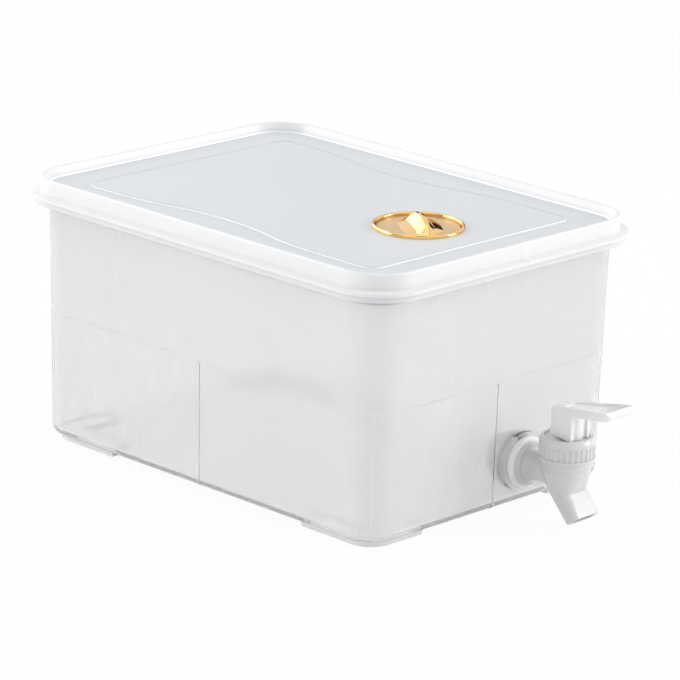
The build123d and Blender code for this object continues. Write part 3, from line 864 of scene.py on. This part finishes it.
@dataclass
class Tank:
    """The translucent box with its washers and nut.

    Args:
        finish: of its thin walls
        thick_finish: of its thicker parts
        boss_reach: how far from the tap's axis a face still belongs to the boss
        boss_depth: how far behind the outer washer it still does
        rim_depth: height of the rim, from the box's top
        foot_depth: height of the feet, from the floor
        upright_limit: how much a foot's face may look up or down, 0 to 1
    """

    finish: str = "tank"
    thick_finish: str = "tank_thick"
    boss_reach: float = 0.02
    boss_depth: float = 0.0032
    rim_depth: float = 0.0045
    foot_depth: float = 0.0045
    upright_limit: float = 0.7

    def build(self, dresser: Dresser) -> None:
        """Dress the box and what is clamped through its wall.

        Args:
            dresser: holds the pieces and the finishes
        """
        dresser.dress("tank", self.finish)
        self.whiten_thick_parts(dresser)
        for node in ("outer_washer", "inner_washer"):
            dresser.dress(node, "silicone")
        dresser.dress("lock_nut", "tap")

    def whiten_thick_parts(self, dresser: Dresser) -> None:
        """Give the boss, the rim and the feet, where the milky plastic is thicker, their whiter finish.

        Args:
            dresser: holds the piece and the finish
        """
        tank = dresser.nodes["tank"]
        tank.data.materials.append(dresser.materials[self.thick_finish])
        low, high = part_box("tank")
        washer_low, washer_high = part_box("outer_washer")
        middle = (washer_low.z + washer_high.z) / 2
        for polygon in tank.data.polygons:
            corners = [tank.data.vertices[index].co for index in polygon.vertices]
            on_boss = all(
                math.hypot(place.x, place.z - middle) < self.boss_reach
                and place.y < washer_high.y + self.boss_depth
                for place in corners
            )
            on_rim = all(place.z > high.z - self.rim_depth for place in corners)
            upright = abs(polygon.normal.z) < self.upright_limit
            on_foot = upright and all(place.z < low.z + self.foot_depth for place in corners)
            if on_boss or on_rim or on_foot:
                polygon.material_index = 1


@dataclass
class Lid:
    """The white lid and its seal."""

    def build(self, dresser: Dresser) -> None:
        """Dress the lid and its seal.

        Args:
            dresser: holds the pieces and the finishes
        """
        dresser.dress("lid", "lid")
        dresser.dress("lid_seal", "silicone")


@dataclass
class Vent:
    """The gold vent: bezel, dial with its grip, and what holds the dial from below.

    Args:
        sides: how many sides its round parts have
        bezel_round: how many steps the bezel's crown has
        bezel_gap: between the dial's edge and the bezel
        bezel_land: width of the bezel's foot, which stands in the lid's pocket
        bezel_seat: height of its overhang above that foot
        bezel_crease: angle above which its edges stay sharp, in degrees
        plate_thickness: of the dial's plate
        plate_edge: how far the plate's edge is taken off
        stem_radius: of the dial's stem
        dial_crease: angle above which the dial's edges stay sharp, in degrees
        grip_height: of the crest above the plate
        grip_reach: half of the grip's length
        grip_turn: of the grip about the dial's axis, in degrees
        grip_bow: how far the crest bows sideways at its middle
        grip_arch: power of the crest's fall towards its ends
        grip_ridge: how far from the crest a flank starts, 0 to 1
        grip_round: how far the grip's edges are rounded off
        grip_round_angle: angle above which they are, in degrees
        grip_rows: half of the rows along the grip
        grip_columns: half of the columns across it
        grip_section: share of the way down a flank, and the height there, as a share
        grip_widths: share of the way along the grip, and a flank's width there
    """

    sides: int = 160
    bezel_round: int = 12
    bezel_gap: float = 0.0003
    bezel_land: float = 0.00065
    bezel_seat: float = 0.0018
    bezel_crease: float = 50.0
    plate_thickness: float = 0.0015
    plate_edge: float = 0.0002
    stem_radius: float = 0.004
    dial_crease: float = 40.0
    grip_height: float = 0.0066
    grip_reach: float = 0.0192
    grip_turn: float = 60.0
    grip_bow: float = 0.0013
    grip_arch: float = 2.4
    grip_ridge: float = 0.01
    grip_round: float = 0.00025
    grip_round_angle: float = 25.0
    grip_rows: int = 48
    grip_columns: int = 16
    grip_section: Curve = ((0.0, 1.0), (0.125, 0.95), (0.5, 0.27), (1.0, 0.0))
    grip_widths: Curve = (
        (-1.0, 0.0045),
        (-0.88, 0.0085),
        (-0.55, 0.0107),
        (-0.15, 0.0112),
        (0.5, 0.0099),
        (1.0, 0.0012),
    )

    def build(self, dresser: Dresser) -> None:
        """Model the bezel and the dial, and dress the rest.

        Args:
            dresser: holds the pieces and the finishes
        """
        self.build_bezel(dresser)
        self.build_dial(dresser)
        dresser.dress("vent_gasket", "silicone")
        dresser.dress("vent_retainer", "retainer")
        dresser.dress("vent_screw", "steel")

    def build_bezel(self, dresser: Dresser) -> None:
        """Turn the bezel with an evenly rounded crown.

        Args:
            dresser: places the piece
        """
        low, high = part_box("vent_bezel")
        dial_low, dial_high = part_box("vent_dial")
        centre = ((low.x + high.x) / 2, (low.y + high.y) / 2, low.z)
        outer = (high.x - low.x) / 2
        inner = (dial_high.x - dial_low.x) / 2 + self.bezel_gap
        half = (outer - inner) / 2
        top = high.z - low.z
        land = inner + self.bezel_land
        seat = self.bezel_seat
        profile = [(inner, 0.0), (land, 0.0), (land, seat), (outer, seat)]
        for step in range(self.bezel_round + 1):
            turn = math.pi * step / self.bezel_round
            crown = (outer - half + half * math.cos(turn), top - half + half * math.sin(turn))
            profile.append(crown)
        bezel = Workbench.lathe("bezel_ring", centre, profile, self.sides, closed=True)
        Workbench.smooth(bezel, math.radians(self.bezel_crease))
        dresser.place(bezel, Body.LID, Slot.GOLD, "gold", "vent_bezel")

    def build_dial(self, dresser: Dresser) -> None:
        """Turn the dial's plate and stem, and set the grip on it.

        Args:
            dresser: places the piece
        """
        low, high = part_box("vent_dial")
        centre = ((low.x + high.x) / 2, (low.y + high.y) / 2, 0.0)
        radius = (high.x - low.x) / 2
        floor = high.z - self.grip_height
        under = floor - self.plate_thickness
        profile = [
            (self.stem_radius, low.z),
            (self.stem_radius, under),
            (radius, under),
            (radius, floor - self.plate_edge),
            (radius - self.plate_edge, floor),
        ]
        plate = Workbench.lathe("dial_plate", centre, profile, self.sides, closed=False)
        Workbench.close(plate)
        grip = self.build_grip((centre[0], centre[1], floor))
        dial = Workbench.join("dial", plate, grip)
        Workbench.smooth(dial, math.radians(self.dial_crease))
        dresser.place(dial, Body.VENT, Slot.GOLD, "gold", "vent_dial")

    @staticmethod
    def along(points: Curve, place: float) -> float:
        """Read a value between listed points.

        Args:
            points: places in rising order, each with its value
            place: where to read

        Returns:
            The value there, on the straight line between the two nearest points.
        """
        for (start, first), (end, second) in zip(points, points[1:]):
            if place <= end:
                return first + (second - first) * (place - start) / (end - start)
        return points[-1][1]

    def build_grip(self, middle: Point) -> bpy.types.Object:
        """Shape the finger grip from a grid: a bowed crest with a crease half way down each flank.

        Args:
            middle: the centre of the dial's floor

        Returns:
            The grip, closed below.
        """
        Workbench.clear()
        rows, columns = self.grip_rows, self.grip_columns
        bpy.ops.mesh.primitive_grid_add(
            x_subdivisions=rows, y_subdivisions=columns, size=2, location=(0, 0, 0)
        )
        grip = Workbench.claim("dial_grip")
        bpy.ops.object.mode_set(mode="EDIT")
        for column in range(-columns, columns + 1):
            side = column / columns
            rise = self.grip_height * self.along(self.grip_section, abs(side))
            Workbench.pick(grip, lambda at: abs(at.y - side) < MERGE_DISTANCE and at.z < MERGE_DISTANCE)
            bpy.ops.transform.translate(value=(0, 0, rise))
        for row in range(-rows, rows + 1):
            reach = row / rows
            arch = max(1 - abs(reach) ** self.grip_arch, 0.0)
            for hand in (1, -1):
                width = self.along(self.grip_widths, reach * hand)
                Workbench.pick(
                    grip, lambda at: abs(at.x - reach) < MERGE_DISTANCE and at.y * hand > self.grip_ridge
                )
                bpy.ops.transform.resize(value=(1, width, arch), center_override=(reach, 0, 0))
            Workbench.pick(
                grip, lambda at: abs(at.x - reach) < MERGE_DISTANCE and abs(at.y) < MERGE_DISTANCE
            )
            bpy.ops.transform.resize(value=(1, 1, arch), center_override=(reach, 0, 0))
            Workbench.pick(grip, lambda at: abs(at.x - reach) < MERGE_DISTANCE)
            bpy.ops.transform.translate(value=(0, -self.grip_bow * (1 - reach * reach), 0))
        bpy.ops.mesh.select_all(action="SELECT")
        bpy.ops.transform.resize(value=(self.grip_reach, 1, 1), center_override=(0, 0, 0))
        bpy.ops.object.mode_set(mode="OBJECT")
        Workbench.close(grip)
        Workbench.modify(
            grip,
            "BEVEL",
            limit_method="ANGLE",
            angle_limit=math.radians(self.grip_round_angle),
            width=self.grip_round,
            segments=BEVEL_SEGMENTS,
        )
        grip.rotation_euler.z = math.radians(self.grip_turn)
        grip.location = middle
        return Workbench.settle(grip)


@dataclass
class Tap:
    """The push tap: body, cap, stem, cup, spring and paddle.

    Args:
        body_round: how far the edges of the body and the stem are rounded off
        lever_round: the same of the paddle's edges
    """

    body_round: float = 0.0003
    lever_round: float = 0.0004

    def build(self, dresser: Dresser) -> None:
        """Dress the tap's pieces.

        Args:
            dresser: holds the pieces and the finishes
        """
        for node in ("tap_body", "tap_stem"):
            dresser.dress(node, "tap", self.body_round)
        dresser.dress("tap_bonnet", "tap")
        dresser.dress("tap_lever", "lever", self.lever_round)
        dresser.dress("seat_cup", "silicone")
        dresser.dress("tap_spring", "steel")


def direction(azimuth: float, rise: float) -> Vector:
    """Return the way from the object towards a place round it.

    Args:
        azimuth: the turn from -Y towards +X, in degrees
        rise: the elevation above the horizon, in degrees

    Returns:
        The direction, one metre long.
    """
    turn = math.radians(azimuth)
    lift = math.radians(rise)
    return Vector((math.sin(turn) * math.cos(lift), -math.cos(turn) * math.cos(lift), math.sin(lift)))


@dataclass(frozen=True)
class Lamp:
    """One square lamp that faces the object.

    Args:
        name: the lamp's name
        place: where it hangs
        size: length of its side
        power: in watts
    """

    name: str
    place: Point
    size: float
    power: float

    def build(self, target: Point) -> None:
        """Hang the lamp.

        Args:
            target: what it is aimed at
        """
        data = bpy.data.lights.new(self.name, "AREA")
        data.size = self.size
        data.energy = self.power
        lamp = bpy.data.objects.new(self.name, data)
        bpy.context.scene.collection.objects.link(lamp)
        lamp.location = self.place
        lamp.rotation_mode = "QUATERNION"
        lamp.rotation_quaternion = (Vector(target) - Vector(self.place)).to_track_quat("-Z", "Y")


@dataclass(frozen=True)
class Card:
    """A dark or bright card on the set, which shows only in what polished surfaces mirror.

    Args:
        name: the card's name
        azimuth: where it stands round the object, in degrees from -Y towards +X
        rise: its elevation above the horizon, in degrees
        distance: from the object
        width: of the card
        height: of the card
        colour: what it shows
        strength: how brightly it shows
        aim_height: height of the point that it is set out from
    """

    name: str
    azimuth: float
    rise: float
    distance: float
    width: float
    height: float
    colour: Colour = (0.03, 0.018, 0.008, 1.0)
    strength: float = 1.0
    aim_height: float = 0.13

    def build(self) -> bpy.types.Object:
        """Make the card, seen by mirror rays alone.

        Returns:
            The card.
        """
        way = direction(self.azimuth, self.rise)
        centre = way * self.distance + Vector((0, 0, self.aim_height))
        Workbench.clear()
        bpy.ops.mesh.primitive_plane_add(size=1, location=centre)
        card = Workbench.claim(self.name)
        card.rotation_mode = "QUATERNION"
        card.rotation_quaternion = way.to_track_quat("Z", "Y")
        card.scale = (self.width, self.height, 1)
        card.visible_camera = False
        card.visible_diffuse = False
        card.visible_transmission = False
        card.visible_shadow = False
        material = bpy.data.materials.new(self.name)
        material.use_nodes = True
        material.node_tree.nodes.clear()
        sheet = NodeSheet(material.node_tree)
        glow = sheet.add("ShaderNodeEmission")
        glow.inputs["Color"].default_value = self.colour
        glow.inputs["Strength"].default_value = self.strength
        out = sheet.add("ShaderNodeOutputMaterial")
        sheet.link(glow.outputs[0], out.inputs["Surface"])
        card.data.materials.append(material)
        return card


@dataclass
class Studio:
    """Plain white studio, with the camera at the photograph's viewing angle.

    Args:
        azimuth: the camera's turn about the object, in degrees
        elevation: its height above the horizon, in degrees
        roll: its turn about its own axis, in degrees
        distance: from the camera to its target
        target: what the camera looks at
        lens: focal length, in millimetres
        sensor: width of the camera's sensor, in millimetres
        world_light: strength of the even light, away from the camera's side
        world_front: the same from the camera's side
        world_colour: colour of the even light
        front_start: how far towards the camera's side the light starts to fall, -1 to 1
        floor_size: length of the floor's side
        floor_drop: how far the floor lies below the feet
        floor_white: how white the floor looks to the camera, 0 to 1
        floor_colour: the floor's own grey
        cards: what polished surfaces mirror
        lamps: the lamps
    """

    azimuth: float = -45.77
    elevation: float = 17.09
    roll: float = 1.67
    distance: float = 2.0701
    target: Point = (0.00977, 0.0246, 0.06185)
    lens: float = 212.6
    sensor: float = 36.0
    world_light: float = 0.95
    world_front: float = 0.6
    world_colour: Colour = (0.97, 0.985, 1.0, 1.0)
    front_start: float = 0.35
    floor_size: float = 12.0
    floor_drop: float = 0.0002
    floor_white: float = 0.95
    floor_colour: float = 0.88
    cards: tuple[Card, ...] = (
        Card("flag_back", 118.0, 4.0, 1.2, 0.9, 0.4),
        Card("flag_crest", 140.0, 14.0, 1.2, 0.3, 0.09),
        Card("card_far", 186.0, 26.0, 1.2, 1.25, 1.15, (1.0, 1.0, 1.0, 1.0), 2.6),
        Card("flag_left", -105.0, 30.0, 1.2, 0.5, 0.5),
        Card("flag_top", -30.0, 68.0, 1.2, 0.35, 0.5),
        Card("flag_right", 60.0, 35.0, 1.2, 0.4, 0.6),
    )
    lamps: tuple[Lamp, ...] = (
        Lamp("key", (1.4, -1.4, 0.7), 0.9, 17.0),
        Lamp("side", (-1.5, 1.3, 0.7), 1.1, 14.0),
        Lamp("overhead", (0.3, 0.3, 1.9), 1.2, 1.5),
    )

    def build(self) -> None:
        """Make the camera, the world, the floor, the lamps and the cards."""
        self.build_camera()
        self.build_world()
        self.build_floor()
        for lamp in self.lamps:
            lamp.build(self.target)
        for card in self.cards:
            card.build()
        bpy.context.scene.view_settings.view_transform = "Standard"

    def build_camera(self) -> None:
        """Make the camera and aim it."""
        back = direction(self.azimuth, self.elevation)
        data = bpy.data.cameras.new("portrait")
        data.lens = self.lens
        data.sensor_width = self.sensor
        camera = bpy.data.objects.new("portrait", data)
        bpy.context.scene.collection.objects.link(camera)
        camera.location = Vector(self.target) + back * self.distance
        camera.rotation_mode = "QUATERNION"
        aim = (-back).to_track_quat("-Z", "Y")
        camera.rotation_quaternion = aim @ Quaternion((0, 0, 1), math.radians(self.roll))
        bpy.context.scene.camera = camera

    def build_world(self) -> None:
        """Light the object softly, less from the camera's side, and show plain white behind it."""
        world = bpy.data.worlds.new("studio")
        bpy.context.scene.world = world
        world.use_nodes = True
        world.node_tree.nodes.clear()
        sheet = NodeSheet(world.node_tree)
        light = sheet.add("ShaderNodeBackground")
        light.inputs["Color"].default_value = self.world_colour
        place = sheet.add("ShaderNodeTexCoord")
        facing = sheet.add("ShaderNodeVectorMath", operation="DOT_PRODUCT")
        facing.inputs[1].default_value = direction(self.azimuth, 0.0)
        sheet.link(place.outputs["Generated"], facing.inputs[0])
        side = facing.outputs["Value"]
        level = sheet.ramp(side, self.front_start, 1.0, self.world_light, self.world_front)
        sheet.link(level, light.inputs["Strength"])
        white = sheet.add("ShaderNodeBackground")
        white.inputs["Color"].default_value = (1, 1, 1, 1)
        white.inputs["Strength"].default_value = 1.0
        self.show(sheet, self.seen(sheet), light, white, "ShaderNodeOutputWorld")

    def build_floor(self) -> None:
        """Lay a pale floor that reads white and keeps the object's soft shadow."""
        Workbench.clear()
        bpy.ops.mesh.primitive_plane_add(size=self.floor_size, location=(0, 0, -self.floor_drop))
        floor = Workbench.claim("studio_floor")
        material = bpy.data.materials.new("floor_white")
        material.use_nodes = True
        material.node_tree.nodes.clear()
        sheet = NodeSheet(material.node_tree)
        matt = sheet.add("ShaderNodeBsdfDiffuse")
        grey = self.floor_colour
        matt.inputs["Color"].default_value = (grey, grey, grey, 1)
        glow = sheet.add("ShaderNodeEmission")
        share = sheet.math("MULTIPLY", self.seen(sheet), self.floor_white)
        self.show(sheet, share, matt, glow, "ShaderNodeOutputMaterial")
        floor.data.materials.append(material)

    @staticmethod
    def seen(sheet: NodeSheet) -> bpy.types.NodeSocket:
        """Tell camera, mirror and transmission rays from those that light the object.

        Args:
            sheet: the sheet of nodes

        Returns:
            The socket that holds 1 for the former and 0 for the latter.
        """
        path = sheet.add("ShaderNodeLightPath")
        direct = sheet.math("MAXIMUM", path.outputs["Is Camera Ray"], path.outputs["Is Glossy Ray"])
        return sheet.math("MAXIMUM", direct, path.outputs["Is Transmission Ray"])

    @staticmethod
    def show(
        sheet: NodeSheet,
        share: bpy.types.NodeSocket,
        first: bpy.types.Node,
        second: bpy.types.Node,
        output: str,
    ) -> None:
        """Mix two shaders and link them to the sheet's output.

        Args:
            sheet: the sheet of nodes
            share: how much of the second shader shows, 0 to 1
            first: the first shader
            second: the second shader
            output: the output node's type
        """
        mix = sheet.add("ShaderNodeMixShader")
        sheet.link(share, mix.inputs[0])
        sheet.link(first.outputs[0], mix.inputs[1])
        sheet.link(second.outputs[0], mix.inputs[2])
        sheet.link(mix.outputs[0], sheet.add(output).inputs["Surface"])


def main() -> None:
    """Build the dispenser and its studio, and report each piece."""
    logging.basicConfig(level=logging.INFO, format="%(name)s: %(message)s")
    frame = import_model()
    Studio().build()
    dresser = Dresser(frame)
    for assembly in (Tank(), Lid(), Vent(), Tap()):
        assembly.build(dresser)
        LOG.info("finished %s", type(assembly).__name__)


if __name__ == "__main__":
    main()
